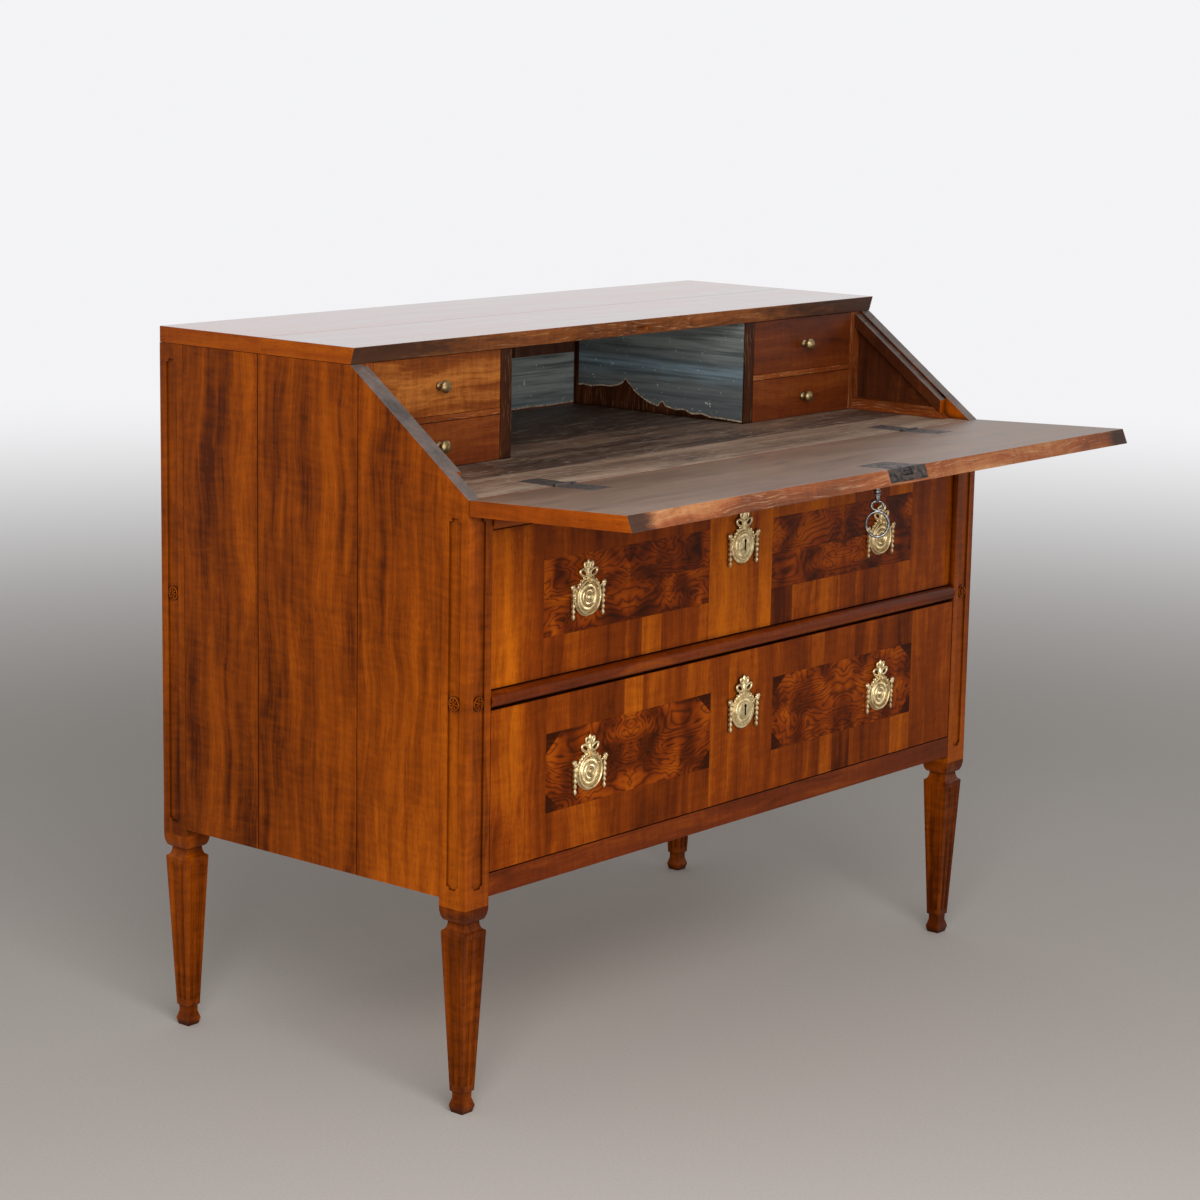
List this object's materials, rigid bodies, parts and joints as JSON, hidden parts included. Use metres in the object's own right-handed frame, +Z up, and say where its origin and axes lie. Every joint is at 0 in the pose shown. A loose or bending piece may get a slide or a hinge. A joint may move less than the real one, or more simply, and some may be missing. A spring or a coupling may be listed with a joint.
{
  "type": "fall-front writing commode",
  "caption": "Walnut writing commode on fluted tapering legs: sloped fall that opens to a writing bed before a gallery of small drawers, over long drawers with brass ring pulls.",
  "frame": {"origin": "on the floor, in the middle of the box round the commode with its fall open", "axes": "+X to the right seen from the front, +Y from the front to the back, +Z up"},
  "size_m": [1.1218, 0.8096, 0.96],
  "materials": {
    "walnut": "polished",
    "dark_walnut": "polished",
    "worn_walnut": "worn",
    "pine": "bare",
    "brass": "aged",
    "iron": "dull"
  },
  "bodies": {
    "case": {"top_board": "walnut", "left_side_panel": "walnut", "right_side_panel": "walnut", "front_left_post": "walnut", "front_right_post": "walnut", "rear_left_post": "walnut", "rear_right_post": "walnut", "back_panel": "pine", "bottom_board": "pine", "apron_rail": "dark_walnut", "divider_rail": "dark_walnut", "bed_rail": "dark_walnut", "bed_board": "worn_walnut", "left_upper_runner": "pine", "right_upper_runner": "pine", "left_partition": "dark_walnut", "right_partition": "dark_walnut", "left_gallery_shelf": "walnut", "right_gallery_shelf": "walnut", "left_end_stile": "walnut", "right_end_stile": "walnut", "left_foot_strip": "walnut", "right_foot_strip": "walnut", "left_hinge_case_leaf": "iron", "right_hinge_case_leaf": "iron"},
    "fall": {"fall_board": "walnut", "left_hinge_fall_leaf": "iron", "right_hinge_fall_leaf": "iron", "fall_lock": "iron"},
    "bolt": {"fall_bolt": "iron"},
    "key": {"fall_key": "iron"},
    "upper_drawer": {"upper_drawer_front": "walnut", "upper_drawer_tray": "pine", "upper_drawer_bottom": "pine", "upper_drawer_escutcheon": "brass", "upper_drawer_left_handle_plate": "brass", "upper_drawer_right_handle_plate": "brass"},
    "upper_left_ring": {"upper_drawer_left_ring": "brass"},
    "upper_right_ring": {"upper_drawer_right_ring": "brass"},
    "lower_drawer": {"lower_drawer_front": "walnut", "lower_drawer_tray": "pine", "lower_drawer_bottom": "pine", "lower_drawer_escutcheon": "brass", "lower_drawer_left_handle_plate": "brass", "lower_drawer_right_handle_plate": "brass"},
    "lower_left_ring": {"lower_drawer_left_ring": "brass"},
    "lower_right_ring": {"lower_drawer_right_ring": "brass"},
    "upper_left_small": {"upper_left_small_drawer": "walnut", "upper_left_small_drawer_bottom": "pine", "upper_left_small_drawer_knob": "brass"},
    "upper_right_small": {"upper_right_small_drawer": "walnut", "upper_right_small_drawer_bottom": "pine", "upper_right_small_drawer_knob": "brass"},
    "lower_left_small": {"lower_left_small_drawer": "walnut", "lower_left_small_drawer_bottom": "pine", "lower_left_small_drawer_knob": "brass"},
    "lower_right_small": {"lower_right_small_drawer": "walnut", "lower_right_small_drawer_bottom": "pine", "lower_right_small_drawer_knob": "brass"}
  },
  "joints": [
    {"name": "fall_swing", "type": "hinge", "parent": "case", "child": "fall", "pos_m": [0, -0.14822, 0.791], "axis": [-1, 0, 0], "range_deg": [0, 141.4]},
    {"name": "key_turn", "type": "hinge", "parent": "fall", "child": "key", "pos_m": [0.012, -0.35112, 0.77899], "axis": [0, 0.0419, 0.9991], "range_deg": [0, 180]},
    {"name": "bolt_throw", "type": "slide", "parent": "fall", "child": "bolt", "axis": [0, -0.9991, 0.0419], "range_m": [0, 0.008]},
    {"name": "upper_drawer_slide", "type": "slide", "parent": "case", "child": "upper_drawer", "axis": [0, -1, 0], "range_m": [0, 0.18]},
    {"name": "upper_left_ring_swing", "type": "hinge", "parent": "upper_drawer", "child": "upper_left_ring", "pos_m": [-0.326, -0.14512, 0.6622], "axis": [-1, 0, 0], "range_deg": [0, 85]},
    {"name": "upper_right_ring_swing", "type": "hinge", "parent": "upper_drawer", "child": "upper_right_ring", "pos_m": [0.326, -0.14512, 0.6622], "axis": [-1, 0, 0], "range_deg": [0, 85]},
    {"name": "lower_drawer_slide", "type": "slide", "parent": "case", "child": "lower_drawer", "axis": [0, -1, 0], "range_m": [0, 0.38]},
    {"name": "lower_left_ring_swing", "type": "hinge", "parent": "lower_drawer", "child": "lower_left_ring", "pos_m": [-0.326, -0.15262, 0.4337], "axis": [-1, 0, 0], "range_deg": [0, 85]},
    {"name": "lower_right_ring_swing", "type": "hinge", "parent": "lower_drawer", "child": "lower_right_ring", "pos_m": [0.326, -0.15262, 0.4337], "axis": [-1, 0, 0], "range_deg": [0, 85]},
    {"name": "upper_left_small_slide", "type": "slide", "parent": "case", "child": "upper_left_small", "axis": [0, 1, 0], "range_m": [-0.19, 0]},
    {"name": "upper_right_small_slide", "type": "slide", "parent": "case", "child": "upper_right_small", "axis": [0, 1, 0], "range_m": [-0.19, 0]},
    {"name": "lower_left_small_slide", "type": "slide", "parent": "case", "child": "lower_left_small", "axis": [0, 1, 0], "range_m": [-0.19, 0]},
    {"name": "lower_right_small_slide", "type": "slide", "parent": "case", "child": "lower_right_small", "axis": [0, 1, 0], "range_m": [-0.19, 0]}
  ],
  "couplings": [
    {"joint": "bolt_throw", "follows": "key_turn", "m_per_rad": 0.0025465}
  ]
}
